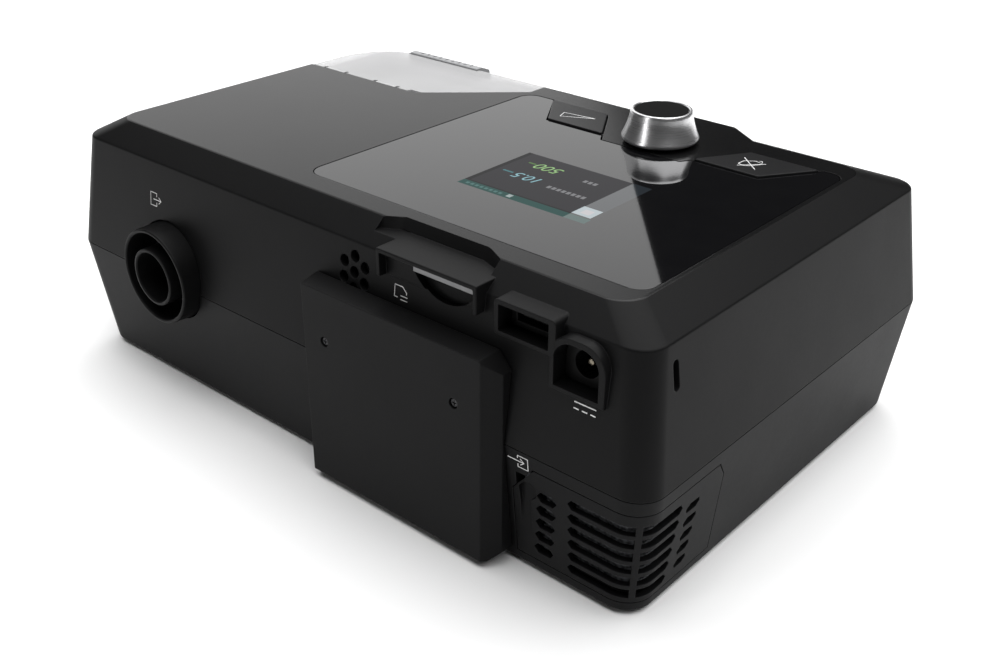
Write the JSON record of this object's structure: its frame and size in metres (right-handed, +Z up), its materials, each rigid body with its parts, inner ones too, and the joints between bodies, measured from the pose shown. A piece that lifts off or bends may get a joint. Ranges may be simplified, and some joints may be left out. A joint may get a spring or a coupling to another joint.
{
  "type": "mechanical ventilator",
  "caption": "Compact bi-level ventilator with a glass control panel, turning knob, clear-lidded humidifier tank, rear air outlet, add-on plate and corner filter grille.",
  "frame": {"origin": "on the table, at the centre of the footprint's bounding box", "axes": "+Z up; +X along the long side towards the humidifier; +Y towards the back, where the air outlet and ports are; the user stands at -Y"},
  "size_m": [0.272, 0.1888, 0.1071],
  "materials": {
    "casing_black": "fine satin texture",
    "panel_glass_black": "polished",
    "screen_grey": "satin",
    "knob_steel": "spun and polished",
    "knob_inset_black": "matte",
    "key_black": "satin",
    "clear_lid": "clear",
    "latch_grey": "satin",
    "tank_clear": "clear",
    "tank_cover_white": "satin",
    "silicone_grey": "matte",
    "rubber_black": "matte",
    "plate_aluminium": "brushed",
    "screw_steel": "zinc plated",
    "card_grey": "satin",
    "board_green": "solder mask",
    "foam_grey": "open-cell foam",
    "socket_black": "satin",
    "blower_white": "satin",
    "pin_brass": "polished"
  },
  "bodies": {
    "case": {"lower_casing": "casing_black", "upper_casing": "casing_black", "foot_1": "rubber_black", "foot_2": "rubber_black", "foot_3": "rubber_black", "foot_4": "rubber_black", "case_screw_1": "screw_steel", "case_screw_2": "screw_steel", "case_screw_3": "screw_steel", "case_screw_4": "screw_steel", "add_on_module": "casing_black", "module_screw_1": "screw_steel", "module_screw_2": "screw_steel", "air_outlet": "casing_black", "outlet_duct": "socket_black", "comm_port": "socket_black", "dc_jack": "socket_black", "dc_pin": "pin_brass", "sd_socket": "screw_steel", "speaker": "rubber_black", "panel_glass": "panel_glass_black", "lcd_module": "screen_grey", "encoder_body": "screw_steel", "key_board": "board_green", "hinge_pin_1": "screw_steel", "hinge_pin_2": "screw_steel", "heater_plate": "plate_aluminium", "humidifier_bay": "casing_black", "blower_housing": "blower_white", "blower_cover": "blower_white", "motor_body": "screw_steel", "blower_mount_1": "rubber_black", "blower_mount_2": "rubber_black", "blower_mount_3": "rubber_black", "main_board": "board_green", "inlet_muffler": "socket_black", "muffler_foam": "foam_grey", "tank_inlet_duct": "socket_black"},
    "knob_shaft": {"encoder_shaft": "screw_steel"},
    "knob": {"knob_body": "knob_steel", "knob_inset": "knob_inset_black"},
    "ramp_key": {"ramp_key": "key_black"},
    "mute_key": {"mute_key": "key_black"},
    "lid": {"clear_lid": "clear_lid", "lid_seal": "silicone_grey"},
    "latch": {"lid_latch": "latch_grey"},
    "tank": {"tank_body": "tank_clear", "tank_cover": "tank_cover_white", "tank_seal": "silicone_grey", "tank_base": "plate_aluminium", "tank_front": "casing_black"},
    "filter_cover": {"filter_cover": "casing_black", "filter_pad": "foam_grey"},
    "sd_card": {"sd_card": "card_grey"},
    "blower_rotor": {"impeller": "blower_white", "motor_shaft": "screw_steel"}
  },
  "joints": [
    {"name": "knob_push", "type": "slide", "parent": "case", "child": "knob_shaft", "axis": [0, 0, -1], "range_m": [0, 0.0005], "stiffness_N_per_m": 3000},
    {"name": "knob_turn", "type": "hinge", "parent": "knob_shaft", "child": "knob", "pos_m": [-0.0495, -0.04, 0.096], "axis": [0, 0, 1], "continuous": true},
    {"name": "ramp_key_press", "type": "slide", "parent": "case", "child": "ramp_key", "axis": [0, 0, -1], "range_m": [0, 0.0004], "stiffness_N_per_m": 2500},
    {"name": "mute_key_press", "type": "slide", "parent": "case", "child": "mute_key", "axis": [0, 0, -1], "range_m": [0, 0.0004], "stiffness_N_per_m": 2500},
    {"name": "lid_hinge", "type": "hinge", "parent": "case", "child": "lid", "pos_m": [0.088, -0.0229, 0.0942], "axis": [-1, 0, 0], "range_deg": [0, 95]},
    {"name": "latch_press", "type": "slide", "parent": "lid", "child": "latch", "axis": [0, 0, -1], "range_m": [0, 0.001], "stiffness_N_per_m": 1500},
    {"name": "tank_slide", "type": "slide", "parent": "case", "child": "tank", "axis": [0, -1, 0], "range_m": [0, 0.12]},
    {"name": "filter_cover_pull", "type": "slide", "parent": "case", "child": "filter_cover", "axis": [-0.7071, 0.7071, 0], "range_m": [0, 0.06]},
    {"name": "sd_card_slide", "type": "slide", "parent": "case", "child": "sd_card", "axis": [0, 1, 0], "range_m": [0, 0.034]},
    {"name": "rotor_spin", "type": "hinge", "parent": "case", "child": "blower_rotor", "pos_m": [-0.058, 0.02, 0.06], "axis": [0, 0, -1], "continuous": true}
  ]
}
